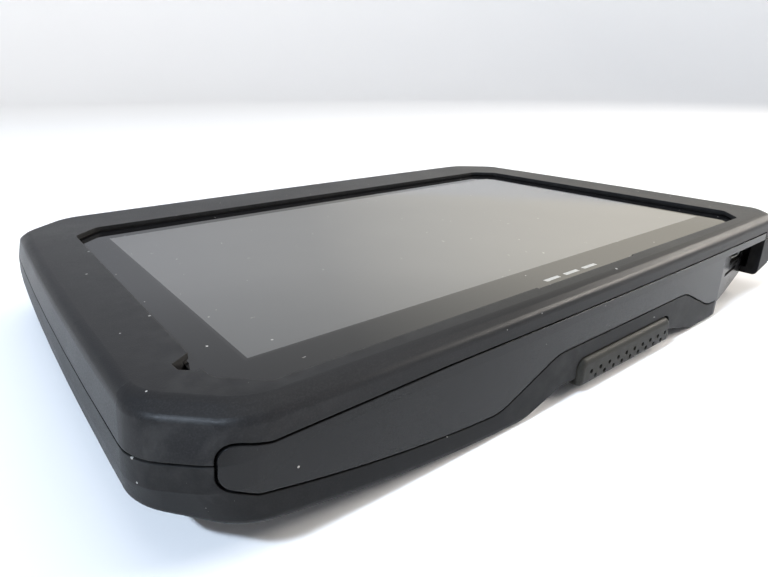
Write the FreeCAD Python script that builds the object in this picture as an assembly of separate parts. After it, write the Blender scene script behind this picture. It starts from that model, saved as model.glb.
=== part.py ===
import FreeCAD, Part
import math
import os

# Rugged seven-inch route navigator, lying on its back with the screen up.
# Millimetres. +X runs along the long side, +Y towards the top edge of the device, +Z out of the screen.
# The origin is the middle of the footprint, on the plane the device rests on.

V = FreeCAD.Vector

# ---- Reach of cutting solids that only have to pass right through the body ----
FAR = 120.0
NEAR_OUTSIDE = -80.0
PAST = 1.0

# ---- Overall body ----
BODY_HALF_X = 99.9
BODY_HALF_Y = 69.4
BODY_TOP = 25.0
PARTING_Z = 18.0
WIDEST_Z = 14.0
CREST_Z = 23.4
SIDE_BOW = 1.0
END_BOW = 0.9
CORNER_EASE = 11.0
SMALL_CORNER_EASE = 6.0
EASE_PER_WALL = 0.8
NEAR_RIGHT_SHARE = 0.5
WALL = 3.2
REAR_FLOOR = 2.0
FRAME_SKIN = 1.8
PARTING_GAP = 0.3
PARTING_DEPTH = 0.8
FRAME_EDGE_EASE = 3.0
CREST_EASE = 1.8
CORNER_FILL = 7.5

# Outer skin as z, half width, half depth and length of the corner cut.
SKIN_LEVELS = (
    (-1.0, BODY_HALF_X, BODY_HALF_Y, 15.5),
    (WIDEST_Z, BODY_HALF_X, BODY_HALF_Y, 10.5),
    (PARTING_Z, 99.5, BODY_HALF_Y, 10.5),
    (CREST_Z, 98.4, 69.2, 13.0),
    (BODY_TOP, 97.1, 66.6, 13.3),
)

# ---- Underside: flat in the middle, curving up towards both ends ----
FLAT_HALF = 22.0
UNDERSIDE_RADIUS = 310.0
UNDERSIDE_REACH = 108.0
UNDERSIDE_EASE = 1.5

# ---- Flat foot beside the speaker bay, level with the middle of the underside ----
FOOT_LEFT = 24.0
FOOT_RIGHT = 57.4
FOOT_BACK = -46.0
FOOT_TOP = 6.0
FOOT_EASE = 1.5

# ---- Screen opening and display stack ----
OPENING_X = -1.5
OPENING_Y = -8.0
OPENING_W = 168.0
OPENING_H = 109.2
OPENING_CUT = 6.5
OPENING_EASE = 3.0
OPENING_NEAR_Y = OPENING_Y - OPENING_H / 2
RELIEF_LEFT = -19.6
RELIEF_RIGHT = 16.4
RELIEF_DEPTH = 0.5
LIP_THICKNESS = 1.1
SEAL_THICKNESS = 0.4
SEAL_INSET = 0.35
SEAL_RELIEF_CLEARANCE = 0.1
GLASS_OVERLAP = 0.9
GLASS_THICKNESS = 1.1
GLASS_CLEARANCE = 0.15
GLASS_W = OPENING_W + 2 * GLASS_OVERLAP
GLASS_H = OPENING_H + 2 * GLASS_OVERLAP
RIB_THICKNESS = 1.4
RIB_BOTTOM = 16.8
POCKET_DEPTH = 3.0
DISPLAY_X = -1.6
DISPLAY_Y = -7.15
PANEL_W = 162.0
PANEL_H = 98.0
TOUCH_THICKNESS = 0.5
TOUCH_BORDER = 0.4
PANEL_THICKNESS = 1.6
BACKLIGHT_THICKNESS = 2.7
TRAY_WALL = 0.8
TRAY_CLEARANCE = 0.1
CHASSIS_THICKNESS = 1.2

LIP_BOTTOM = BODY_TOP - LIP_THICKNESS
GLASS_TOP = LIP_BOTTOM - SEAL_THICKNESS
GLASS_BOTTOM = GLASS_TOP - GLASS_THICKNESS
TOUCH_BOTTOM = GLASS_BOTTOM - TOUCH_THICKNESS
PANEL_BOTTOM = TOUCH_BOTTOM - PANEL_THICKNESS
BACKLIGHT_BOTTOM = PANEL_BOTTOM - BACKLIGHT_THICKNESS
TRAY_BOTTOM = BACKLIGHT_BOTTOM - TRAY_WALL
CHASSIS_BOTTOM = TRAY_BOTTOM - CHASSIS_THICKNESS
CAVITY_TOP = BODY_TOP - FRAME_SKIN

# ---- Chassis plate ----
CHASSIS_LEFT = -86.0
CHASSIS_RIGHT = 83.0
CHASSIS_NEAR_Y = -54.0
CHASSIS_FAR_Y = 47.0
EAR_LEFT = -90.4
EAR_RIGHT = 87.4
EAR_NEAR_Y = -18.0
EAR_FAR_Y = 24.0
EAR_REACH = 2.4
EAR_W = 8.0
POST_RADIUS = 3.0
LIGHTENING_W = 44.0
LIGHTENING_H = 30.0
LIGHTENING_SPOTS = ((-38.0, -20.0), (-38.0, 22.0), (38.0, -20.0), (38.0, 22.0))

# ---- Lower side trim: a smooth plate let into the near wall ----
TRIM_THICKNESS = 1.6
TRIM_GAP = 0.42
TRIM_TOP = 20.0
TRIM_LEFT = -90.0
TRIM_LEFT_TOP = -89.3
TRIM_LEFT_LOW = 15.1
TRIM_LOW = 5.6
TRIM_SWEEP_MID = (-61.5, 7.9)
TRIM_SWEEP_END_X = -36.4
TRIM_BRIDGE_Z = 12.7
TRIM_BRIDGE_LEFT = -19.3
TRIM_BRIDGE_RIGHT = 34.6
TRIM_FOOT_X = 50.0
TRIM_END_EASE = 2.4
TRIM_BEND_EASE = 11.0
TRIM_SHOULDER = (-85.0, 12.3)
TRIM_EAR_TOP = 20.6
TRIM_EAR = (-86.4, 20.3)
TRIM_DIP = (-82.4, 19.25)
TRIM_RISE_X = -50.0
TRIM_SOFT_EASE = 2.5

# ---- Port recess: a slanted wall set back behind the near side ----
RECESS_LEFT = 55.5
RECESS_RIGHT = 84.4
RECESS_TOP = 18.0
RECESS_LIP_Y = -69.3
RECESS_BEND_X = 58.6
RECESS_BEND_Y = -67.4
RECESS_DEEP_Y = -63.6
RECESS_BEND_EASE = 4.0
PORT_WALL = 1.5
RECESS_SEAL_CLEARANCE = 0.4

# ---- Boards ----
BOARD_BOTTOM = 10.8
BOARD_THICKNESS = 1.2
BOARD_TOP = BOARD_BOTTOM + BOARD_THICKNESS
BOARD_HALF_W = 70.0
BOARD_NEAR_Y = -40.0
BOARD_FAR_Y = 44.0
BOARD_ARM_LEFT = 58.0
BOARD_ARM_RIGHT = 82.0
PORT_BOARD_LEFT = 66.0
PORT_BOARD_Y = -62.0
PORT_BOARD_FAR_Y = -50.0
SHIELD_W = 30.0
SHIELD_D = 24.0
SHIELD_H = 2.4
SHIELD_SKIN = 0.3
SHIELD_SPOTS = ((-38.0, -12.0), (0.0, 20.0), (38.0, -12.0))
RIBBON_W = 22.0
RIBBON_T = 0.2
RIBBON_Y = -57.8
RIBBON_TAIL_LIFT = 0.4
CONNECTOR_Y = -36.0
CONNECTOR_D = 3.0
CONNECTOR_H = 1.0

# ---- Ports ----
USB_X = 75.0
USB_W = 7.5
USB_H = 2.6
USB_DEPTH = 5.6
USB_SKIN = 0.3
USB_BACK = 0.4
USB_CHAMFER_X = 1.0
USB_CHAMFER_Z = 1.1
USB_FRONT = -64.4
USB_Z = BOARD_TOP + BOARD_THICKNESS + USB_H / 2
USB_WINDOW_W = 13.0
USB_WINDOW_H = 4.6
USB_WINDOW_EASE = 1.2
TONGUE_HALF_W = 2.0
TONGUE_INSET = 0.6
TONGUE_T = 0.6
TONGUE_LIFT = 0.1
SLOT_X = 71.0
SLOT_W = 11.6
SLOT_H = 1.0
SOCKET_W = 12.4
SOCKET_D = 14.0
SOCKET_H = 1.5
SOCKET_FRONT = -62.9
CARD_W = 11.2
CARD_H = 0.9
CARD_D = 12.5
SLOT_Z = BOARD_BOTTOM - SOCKET_H / 2
MIC_X = 76.0
MIC_Y = -62.6
MIC_W = 3.8
MIC_D = 1.0
MIC_Z = BOARD_BOTTOM + 0.6
MIC_HOLE_W = 5.0
MIC_HOLE_H = 1.0

# ---- Speaker, its bay in the underside and its perforated cover ----
BAY_LEFT = -17.5
BAY_RIGHT = 28.4
BAY_CEILING = 4.4
BAY_SLOPE_LEFT = 3.3
BAY_SLOPE_RIGHT = 4.0
BAY_BACK = -45.0
SPEAKER_X = 10.0
SPEAKER_Y = -56.0
SPEAKER_W = 38.0
SPEAKER_D = 18.0
SPEAKER_H = 6.0
SPEAKER_BOTTOM = 6.8
SPEAKER_EASE = 2.0
THROAT_W = 32.0
THROAT_D = 13.0
THROAT_H = 2.2
THROAT_EASE = 5.0
CONE_H = 1.0
DOME_W = 20.0
DOME_D = 7.0
DOME_H = 0.7
DOME_EASE = 3.0
FOAM_OPEN_W = 33.0
FOAM_OPEN_D = 14.4
PORTHOLE_D = 14.0
PORTHOLE_TOP = 9.0
WINDOW_DEPTH = 1.4
GRILLE_LEFT = -11.8
GRILLE_RIGHT = 27.0
GRILLE_BOTTOM = 1.8
GRILLE_TOP = 8.5
GRILLE_FRONT = -70.3
GRILLE_BACK = -47.0
GRILLE_WALL = 1.2
GRILLE_RISE_T = 2.2
GRILLE_CLEARANCE = 0.4
GRILLE_EASE = 1.5
GRILLE_CORNER = 2.4
HOLE_RADIUS = 0.55
HOLE_PITCH = 3.55
HOLE_START = -7.7
HOLE_COUNT = 10
HOLE_ROW_Z = 5.0
HOLE_SECOND_Z = 3.5
HOLE_ROWS = 4
HOLE_ROW_START = 4.2
HOLE_ROW_PITCH = 3.2

# ---- Battery ----
BATTERY_SIZE = (74.0, 34.0, 6.0)
BATTERY_Y = -21.0
BATTERY_EASE = 1.8
BATTERY_PAD = 0.6
PAD_W = 42.0
PAD_D = 26.0

# ---- Satellite antenna, under the wide border at the top edge ----
ANTENNA_Y = 57.6
ANTENNA_BOARD_Z = 16.4
ANTENNA_BOARD_W = 36.0
ANTENNA_BOARD_D = 14.0
ANTENNA_BOARD_T = 1.0
ANTENNA_SIDE = 13.0
ANTENNA_H = 4.0
ANTENNA_REST_X = 14.0
ANTENNA_REST_R = 2.6

# ---- Screws ----
CASE_SCREW_SPOTS = (
    (-92.0, -48.0), (92.0, -48.0), (-92.0, 54.0), (92.0, 54.0), (-34.0, 58.0), (34.0, 58.0),
)
CHASSIS_SCREW_SPOTS = (
    (EAR_LEFT, EAR_NEAR_Y), (EAR_LEFT, EAR_FAR_Y), (EAR_RIGHT, EAR_NEAR_Y), (EAR_RIGHT, EAR_FAR_Y),
)
BOARD_SCREW_SPOTS = ((-64.0, -34.0), (64.0, -34.0), (-64.0, 38.0), (64.0, 38.0))
CASE_SHANK = 1.25
CASE_HEAD = 2.6
CASE_HEAD_H = 1.8
CASE_HEAD_Z = 13.0
CASE_SCREW_TIP = 21.6
SMALL_SHANK = 1.0
SMALL_HEAD = 1.9
SMALL_HEAD_H = 1.2
CHASSIS_TIP = 20.4
BOARD_SCREW_TIP = 14.4
TIP_ROOM = 0.4
SHANK_CLEARANCE = 0.2
HEAD_CLEARANCE = 0.3
CROSS_REACH = 1.2
CROSS_W = 0.6
REAR_BOSS = 3.8
FRAME_BOSS = 3.3
RIB_BOSS = 2.6

# ---- Rear mounting pattern: four M4 inserts on the common 38 x 30 mm dash pattern ----
MOUNT_Y = 20.0
MOUNT_SPAN_X = 38.0
MOUNT_SPAN_Y = 30.2
INSERT_BORE = 1.65
INSERT_RADIUS = 2.8
INSERT_LENGTH = 5.4
INSERT_RECESS = 0.2
INSERT_BOSS = 4.6
INSERT_CAP = 1.0

# ---- Power button stack, along Y in the top edge ----
BUTTON_X = 60.0
BUTTON_Z = 13.2
BUTTON_W = 13.0
BUTTON_H = 4.4
BUTTON_EASE = 0.5
BUTTON_CLEARANCE = 0.15
BUTTON_FACE_Y = 68.7
BUTTON_DISH_Y = 67.9
DISH_GROW_W = 5.0
DISH_GROW_H = 3.0
FLANGE_GROW = 1.8
FLANGE_T = 0.8
PAD_Y = 64.5
PAD_T = 3.0
BUTTON_PAD_W = 20.0
PAD_BELOW = 4.4
PAD_ABOVE = 4.0
PLUNGER_RADIUS = 1.0
PLUNGER_CLEARANCE = 0.05
PLUNGER_PROUD = 0.9
PLUNGER_DEEP = 0.7
PLUNGER_WELL = 1.4
SWITCH_HALF_W = 3.0
SWITCH_HALF_H = 1.8
SWITCH_BOARD_Y = 58.6
SWITCH_BOARD_T = 1.2
SWITCH_BOARD_W = 14.0
SWITCH_BOARD_H = 6.6
SWITCH_BOARD_Z = 9.6
SWITCH_REST_W = 16.0
SWITCH_REST_Z = 2.0

# ---- Perimeter seal between the two case halves ----
SEAL_RING_OUT = 2.0
SEAL_RING_IN = 2.9
SEAL_RING_Z = 17.3


def save(name, shape):
    shape.exportStep("parts/%s.step" % name)


def box(x0, x1, y0, y1, z0, z1):
    return Part.makeBox(x1 - x0, y1 - y0, z1 - z0, V(x0, y0, z0))


def centred_box(cx, cy, width, depth, z0, z1):
    return box(cx - width / 2, cx + width / 2, cy - depth / 2, cy + depth / 2, z0, z1)


def slab(z0, z1):
    """Everything between two heights."""
    return box(-FAR, FAR, -FAR, FAR, z0, z1)


def upright(x, y, radius, z0, z1):
    return Part.makeCylinder(radius, z1 - z0, V(x, y, z0))


def along_y(x, z, radius, y0, y1):
    return Part.makeCylinder(radius, y1 - y0, V(x, y0, z), V(0, 1, 0))


def fuse(shapes):
    return shapes[0].fuse(shapes[1:]).removeSplitter()


def ease_upright_edges(solid, radius):
    """Round every edge of a straight prism that runs along Z."""
    edges = []
    for edge in solid.Edges:
        bounds = edge.BoundBox
        if bounds.XLength + bounds.YLength < 1e-6 < bounds.ZLength:
            edges.append(edge)
    return solid.makeFillet(radius, edges)


def lowest_wire(solid):
    """Outer wire of the bottom face of a prism."""
    for face in solid.Faces:
        if face.BoundBox.ZMax < solid.BoundBox.ZMin + 1e-6:
            return face.OuterWire
    raise ValueError("the prism has no flat bottom face")


def ease_body_corners(prism, shrink):
    """Round the eight upright edges of a body outline, less at the near right corner."""
    wide = []
    small = []
    for edge in prism.Edges:
        bounds = edge.BoundBox
        if bounds.XLength + bounds.YLength > 1e-6:
            continue
        if bounds.XMin > 0 > bounds.YMax:
            small.append(edge.Vertexes[0].Point)
        else:
            wide.append(edge)
    prism = prism.makeFillet(CORNER_EASE - shrink, wide)
    remaining = []
    for edge in prism.Edges:
        bounds = edge.BoundBox
        if bounds.XLength + bounds.YLength > 1e-6:
            continue
        for spot in small:
            if abs(bounds.XMin - spot.x) + abs(bounds.YMin - spot.y) < 1e-4:
                remaining.append(edge)
    return prism.makeFillet(SMALL_CORNER_EASE - shrink, remaining)


def plan_wire(half_x, half_y, cut, small_cut, shrink, z):
    """Body outline at one height: four bowed sides joined by eased corner cuts."""
    near_x = half_x - cut
    side_x = half_x - SIDE_BOW
    near_y = half_y - END_BOW
    side_y = half_y - cut
    right_near_x = half_x - small_cut
    right_near_y = half_y - END_BOW * (right_near_x / near_x) ** 2
    right_side_y = half_y - small_cut
    right_side_x = half_x - SIDE_BOW * (right_side_y / side_y) ** 2
    edges = [
        Part.Arc(V(-near_x, -near_y, z), V(0, -half_y, z), V(right_near_x, -right_near_y, z)).toShape(),
        Part.makeLine(V(right_near_x, -right_near_y, z), V(right_side_x, -right_side_y, z)),
        Part.Arc(V(right_side_x, -right_side_y, z), V(half_x, 0, z), V(side_x, side_y, z)).toShape(),
        Part.makeLine(V(side_x, side_y, z), V(near_x, near_y, z)),
        Part.Arc(V(near_x, near_y, z), V(0, half_y, z), V(-near_x, near_y, z)).toShape(),
        Part.makeLine(V(-near_x, near_y, z), V(-side_x, side_y, z)),
        Part.Arc(V(-side_x, side_y, z), V(-half_x, 0, z), V(-side_x, -side_y, z)).toShape(),
        Part.makeLine(V(-side_x, -side_y, z), V(-near_x, -near_y, z)),
    ]
    prism = Part.Face(Part.Wire(edges)).extrude(V(0, 0, 1))
    return lowest_wire(ease_body_corners(prism, shrink))


def envelope(inset=0.0, extra_cut=0.0):
    """Solid bounded by the outer skin, moved inwards by a wall thickness."""
    wires = []
    for z, half_x, half_y, cut in SKIN_LEVELS:
        change = extra_cut - inset * (2 - math.sqrt(2))
        small_cut = cut * NEAR_RIGHT_SHARE + change
        shrink = inset * EASE_PER_WALL
        wires.append(plan_wire(half_x - inset, half_y - inset, cut + change, small_cut, shrink, z))
    return Part.makeLoft(wires, True, True)


def eased_plate(width, depth, z0, z1):
    """Plate the shape of the screen opening: a rectangle with cut and eased corners."""
    left, right = OPENING_X - width / 2, OPENING_X + width / 2
    near, far = OPENING_Y - depth / 2, OPENING_Y + depth / 2
    cut = OPENING_CUT
    points = [
        (left + cut, near), (right - cut, near), (right, near + cut), (right, far - cut),
        (right - cut, far), (left + cut, far), (left, far - cut), (left, near + cut),
    ]
    return ease_upright_edges(plan_prism(points, z0, z1), OPENING_EASE)


def side_prism(points, y0, y1):
    """Prism along Y from an outline given as (x, z) pairs."""
    corners = [V(x, y0, z) for x, z in points]
    return Part.Face(Part.makePolygon(corners + corners[:1])).extrude(V(0, y1 - y0, 0))


def plan_prism(points, z0, z1):
    """Prism along Z from an outline given as (x, y) pairs."""
    corners = [V(x, y, z0) for x, y in points]
    return Part.Face(Part.makePolygon(corners + corners[:1])).extrude(V(0, 0, z1 - z0))


def oval_along_y(x, z, width, height, y0, y1):
    """Stadium-shaped prism along Y."""
    half = (width - height) / 2
    left = along_y(x - half, z, height / 2, y0, y1)
    right = along_y(x + half, z, height / 2, y0, y1)
    middle = box(x - half, x + half, y0, y1, z - height / 2, z + height / 2)
    return fuse([middle, left, right])


def level_edges(solid, z):
    """Edges of a solid that lie in one horizontal plane."""
    found = []
    for edge in solid.Edges:
        bounds = edge.BoundBox
        if abs(bounds.ZMin - z) < 1e-4 and abs(bounds.ZMax - z) < 1e-4:
            found.append(edge)
    return found


def underside_height(x):
    """Height of the curved underside at a distance along X."""
    reach = max(0.0, abs(x) - FLAT_HALF)
    return UNDERSIDE_RADIUS - math.sqrt(UNDERSIDE_RADIUS ** 2 - reach ** 2)


def above_underside(lift):
    """Everything above the curved underside, raised by a floor thickness."""
    reach = UNDERSIDE_REACH
    middle = (reach + FLAT_HALF) / 2
    end_z = underside_height(reach) + lift
    middle_z = underside_height(middle) + lift
    y = -FAR
    edges = [
        Part.makeLine(V(-FLAT_HALF, y, lift), V(FLAT_HALF, y, lift)),
        Part.Arc(V(FLAT_HALF, y, lift), V(middle, y, middle_z), V(reach, y, end_z)).toShape(),
        Part.makeLine(V(reach, y, end_z), V(reach, y, FAR)),
        Part.makeLine(V(reach, y, FAR), V(-reach, y, FAR)),
        Part.makeLine(V(-reach, y, FAR), V(-reach, y, end_z)),
        Part.Arc(V(-reach, y, end_z), V(-middle, y, middle_z), V(-FLAT_HALF, y, lift)).toShape(),
    ]
    return Part.Face(Part.Wire(edges)).extrude(V(0, 2 * FAR, 0))


def underside_edges(rear):
    """Edges where the side walls meet the curved underside."""
    found = []
    for edge in rear.Edges:
        middle = edge.valueAt((edge.FirstParameter + edge.LastParameter) / 2)
        on_underside = abs(middle.z - underside_height(middle.x)) < 0.02
        on_wall = abs(middle.x) > FLAT_HALF + 1 or abs(middle.y) > BODY_HALF_Y - WALL
        seam_across = edge.BoundBox.YLength > BODY_HALF_Y and edge.BoundBox.XLength < 0.01
        if on_underside and on_wall and not seam_across:
            found.append(edge)
    return found


def trim_edges():
    """Front view of the lower side trim, before its bends are eased."""
    def at(x, z):
        return V(x, NEAR_OUTSIDE, z)

    corners = [
        at(TRIM_SWEEP_END_X, TRIM_LOW),
        at(TRIM_BRIDGE_LEFT, TRIM_BRIDGE_Z),
        at(TRIM_BRIDGE_RIGHT, TRIM_BRIDGE_Z),
        at(TRIM_FOOT_X, TRIM_LOW),
        at(RECESS_LEFT, TRIM_LOW),
        at(RECESS_LEFT, RECESS_TOP),
        at(RECESS_RIGHT, RECESS_TOP),
        at(RECESS_RIGHT, TRIM_TOP),
        at(TRIM_RISE_X, TRIM_TOP),
        at(*TRIM_DIP),
        at(*TRIM_EAR),
        at(TRIM_LEFT_TOP, TRIM_EAR_TOP),
        at(TRIM_LEFT, TRIM_LEFT_LOW),
        at(*TRIM_SHOULDER),
    ]
    edges = [Part.makeLine(start, end) for start, end in zip(corners, corners[1:])]
    edges.append(Part.Arc(corners[-1], at(*TRIM_SWEEP_MID), corners[0]).toShape())
    return edges


def trim_wire():
    """Outline of the trim with its left end and its bends eased."""
    prism = Part.Face(Part.Wire(trim_edges())).extrude(V(0, 1, 0))
    ends = (TRIM_LEFT - 1, TRIM_LEFT + 1)
    shoulders = (TRIM_EAR[0] - 1, TRIM_DIP[0] + 1)
    bends = (TRIM_SWEEP_END_X - 1, TRIM_FOOT_X + 1)
    for radius, reach in ((TRIM_END_EASE, ends), (TRIM_SOFT_EASE, shoulders), (TRIM_BEND_EASE, bends)):
        chosen = []
        for edge in prism.Edges:
            bounds = edge.BoundBox
            lengthwise = bounds.XLength + bounds.ZLength < 1e-6
            if lengthwise and reach[0] < bounds.XMax < reach[1]:
                chosen.append(edge)
        prism = prism.makeFillet(radius, chosen)
    for face in prism.Faces:
        if face.BoundBox.YMax < NEAR_OUTSIDE + 1e-6:
            return face.OuterWire
    raise ValueError("the trim outline has no front face")


def trim_prism(grow):
    """Region of the lower side taken by the trim, grown by a gap."""
    wire = trim_wire()
    if grow:
        wire = wire.makeOffset2D(grow)
    return Part.Face(wire).extrude(V(0, -NEAR_OUTSIDE / 2, 0))


def recess_volume(depth, z0, z1):
    """Space in front of the slanted port wall, moved back by a depth."""
    points = [
        (RECESS_LEFT - depth / 2, NEAR_OUTSIDE), (RECESS_LEFT - depth / 2, RECESS_LIP_Y + depth),
        (RECESS_BEND_X, RECESS_BEND_Y + depth), (RECESS_RIGHT, RECESS_DEEP_Y + depth),
        (RECESS_RIGHT, NEAR_OUTSIDE),
    ]
    prism = plan_prism(points, z0, z1)
    bends = []
    for edge in prism.Edges:
        bounds = edge.BoundBox
        if bounds.ZLength > 1 and abs(bounds.XMax - RECESS_BEND_X) < 1e-3:
            bends.append(edge)
    return prism.makeFillet(RECESS_BEND_EASE, bends)


def speaker_bay(lift, back_y):
    """Relief in the underside around the speaker, raised by a floor thickness."""
    ceiling = BAY_CEILING + lift
    left = BAY_LEFT - lift
    right = BAY_RIGHT + lift
    low = -2 * PAST
    drop = ceiling - low
    points = [
        (left - BAY_SLOPE_LEFT * drop, low), (left, ceiling),
        (right, ceiling), (right + BAY_SLOPE_RIGHT * drop, low),
    ]
    return side_prism(points, NEAR_OUTSIDE, back_y)


def near_foot(outer):
    """Pad that carries the near edge where the underside has curved up."""
    pad = outer.common(box(FOOT_LEFT, FOOT_RIGHT, NEAR_OUTSIDE, FOOT_BACK, 0, FOOT_TOP))
    return pad.makeFillet(FOOT_EASE, level_edges(pad, 0))


def build_skins(outer):
    """Front frame blank and rear case blank, before pockets."""
    inner = envelope(PARTING_DEPTH)
    groove = outer.cut(inner).common(slab(PARTING_Z, PARTING_Z + PARTING_GAP))
    frame = outer.common(slab(PARTING_Z, BODY_TOP + PAST))
    frame = frame.makeFillet(FRAME_EDGE_EASE, level_edges(frame, BODY_TOP))
    frame = frame.makeFillet(CREST_EASE, level_edges(frame, CREST_Z))
    rear = outer.common(slab(-PAST, PARTING_Z)).common(above_underside(0.0))
    rear = rear.makeFillet(UNDERSIDE_EASE, underside_edges(rear))
    return frame.cut(groove), fuse([rear, near_foot(outer)])


def glass_pocket(z0, z1):
    return eased_plate(GLASS_W + 2 * GLASS_CLEARANCE, GLASS_H + 2 * GLASS_CLEARANCE, z0, z1)


def rib_block(z0, z1, near_y):
    """Plan area held by the glass pocket and the rib around it."""
    half_w = GLASS_W / 2 + GLASS_CLEARANCE + RIB_THICKNESS
    half_h = GLASS_H / 2 + GLASS_CLEARANCE + RIB_THICKNESS
    return box(OPENING_X - half_w, OPENING_X + half_w, near_y, OPENING_Y + half_h, z0, z1)


def lip_opening():
    """Cut for the screen opening, with a shallow relief in the middle of the lower lip."""
    opening = eased_plate(OPENING_W, OPENING_H, LIP_BOTTOM - PAST, BODY_TOP + PAST)
    near_y = OPENING_NEAR_Y - RELIEF_DEPTH
    far_y = OPENING_NEAR_Y + PAST
    relief = box(RELIEF_LEFT, RELIEF_RIGHT, near_y, far_y, LIP_BOTTOM - PAST, BODY_TOP + PAST)
    return opening.fuse(relief)


def corner_pocket():
    """Small pocket in the frame beside the lower left corner of the glass."""
    outline = [(-85.0, -46.4), (-88.7, -49.0), (-88.5, -51.3), (-86.4, -53.3), (-85.0, -52.6)]
    return plan_prism(outline, LIP_BOTTOM - POCKET_DEPTH, BODY_TOP + PAST)


def frame_bosses():
    bosses = [upright(x, y, FRAME_BOSS, PARTING_Z, CAVITY_TOP) for x, y in CASE_SCREW_SPOTS]
    bosses += [upright(x, y, RIB_BOSS, RIB_BOTTOM, CAVITY_TOP) for x, y in CHASSIS_SCREW_SPOTS]
    return bosses


def frame_pilots():
    pilots = []
    for x, y in CASE_SCREW_SPOTS:
        pilots.append(upright(x, y, CASE_SHANK, PARTING_Z - PAST, CASE_SCREW_TIP + TIP_ROOM))
    for x, y in CHASSIS_SCREW_SPOTS:
        pilots.append(upright(x, y, SMALL_SHANK, RIB_BOTTOM - PAST, CHASSIS_TIP + TIP_ROOM))
    return pilots


def build_frame(blank, trim_pocket):
    """Front frame: lip around the screen, rib around the glass, screw bosses."""
    cavity = envelope(WALL, CORNER_FILL).common(slab(PARTING_Z - PAST, CAVITY_TOP))
    cavity = cavity.cut(rib_block(PARTING_Z - 2 * PAST, CAVITY_TOP + PAST, NEAR_OUTSIDE))
    pocket = glass_pocket(RIB_BOTTOM - PAST, LIP_BOTTOM)
    frame = blank.cut([lip_opening(), pocket, cavity, trim_pocket])
    skirt = rib_block(RIB_BOTTOM, PARTING_Z, OPENING_NEAR_Y + OPENING_CUT).cut(pocket)
    frame = fuse([frame, skirt] + frame_bosses())
    return frame.cut([pocket, corner_pocket()] + frame_pilots())


def build_glass_seal():
    """Foam gasket between the frame lip and the glass."""
    outer = eased_plate(GLASS_W, GLASS_H, GLASS_TOP, LIP_BOTTOM)
    inner = eased_plate(OPENING_W + 2 * SEAL_INSET, OPENING_H + 2 * SEAL_INSET, GLASS_TOP - PAST, BODY_TOP)
    clearance = SEAL_RELIEF_CLEARANCE
    near_y = OPENING_NEAR_Y - RELIEF_DEPTH - clearance
    far_y = OPENING_NEAR_Y + PAST
    relief = box(RELIEF_LEFT - clearance, RELIEF_RIGHT + clearance, near_y, far_y, 0, BODY_TOP)
    return outer.cut([inner, relief, corner_pocket()])


def build_case_seal():
    """Gasket in a step along the top of the rear case wall."""
    ring = envelope(SEAL_RING_OUT).cut(envelope(SEAL_RING_IN)).common(slab(SEAL_RING_Z, PARTING_Z))
    return ring.cut(recess_volume(PORT_WALL + RECESS_SEAL_CLEARANCE, -PAST, RECESS_TOP))


def display_plate(grow, z0, z1):
    return centred_box(DISPLAY_X, DISPLAY_Y, PANEL_W + 2 * grow, PANEL_H + 2 * grow, z0, z1)


def build_tray():
    """Pressed steel tray around the backlight and the display cell."""
    outer = display_plate(TRAY_CLEARANCE + TRAY_WALL, TRAY_BOTTOM, TOUCH_BOTTOM)
    top = TOUCH_BOTTOM + PAST
    inner = display_plate(TRAY_CLEARANCE, BACKLIGHT_BOTTOM, top)
    near_y = DISPLAY_Y - PANEL_H / 2
    notch = centred_box(DISPLAY_X, near_y, RIBBON_W + 2, 6 * TRAY_WALL, BACKLIGHT_BOTTOM, top)
    return outer.cut([inner, notch])


def build_chassis():
    """Cast plate that presses the display stack into the frame and carries the main board."""
    low, high = CHASSIS_BOTTOM, TRAY_BOTTOM
    pieces = [box(CHASSIS_LEFT, CHASSIS_RIGHT, CHASSIS_NEAR_Y, CHASSIS_FAR_Y, low, high)]
    ear_ends = (EAR_LEFT - EAR_REACH, EAR_RIGHT + EAR_REACH)
    for y in (EAR_NEAR_Y, EAR_FAR_Y):
        pieces.append(box(*ear_ends, y - EAR_W / 2, y + EAR_W / 2, low, high))
    pieces += [upright(x, y, POST_RADIUS, BOARD_TOP, low) for x, y in BOARD_SCREW_SPOTS]
    cuts = []
    for x, y in LIGHTENING_SPOTS:
        cuts.append(centred_box(x, y, LIGHTENING_W, LIGHTENING_H, low - PAST, high + PAST))
    for x, y in CHASSIS_SCREW_SPOTS:
        cuts.append(upright(x, y, SMALL_SHANK + SHANK_CLEARANCE, low - PAST, high + PAST))
    for x, y in BOARD_SCREW_SPOTS:
        cuts.append(upright(x, y, SMALL_SHANK, BOARD_TOP - PAST, BOARD_SCREW_TIP + TIP_ROOM))
    return fuse(pieces).cut(cuts)


def screw(x, y, head_z, shank_r, head_r, head_h, tip_z):
    """Cross-recessed pan screw that points up, with its head below."""
    low = head_z - head_h
    body = fuse([upright(x, y, head_r, low, head_z), upright(x, y, shank_r, head_z, tip_z)])
    reach = head_r * CROSS_REACH
    cross = [
        centred_box(x, y, reach, CROSS_W, low, low + head_h / 2),
        centred_box(x, y, CROSS_W, reach, low, low + head_h / 2),
    ]
    return body.cut(cross)


def build_screws(spots, head_z, shank_r, head_r, head_h, tip_z):
    return Part.makeCompound([screw(x, y, head_z, shank_r, head_r, head_h, tip_z) for x, y in spots])


def mount_spots():
    half_x = MOUNT_SPAN_X / 2
    half_y = MOUNT_SPAN_Y / 2
    return [(x, MOUNT_Y + y) for x in (-half_x, half_x) for y in (-half_y, half_y)]


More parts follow.
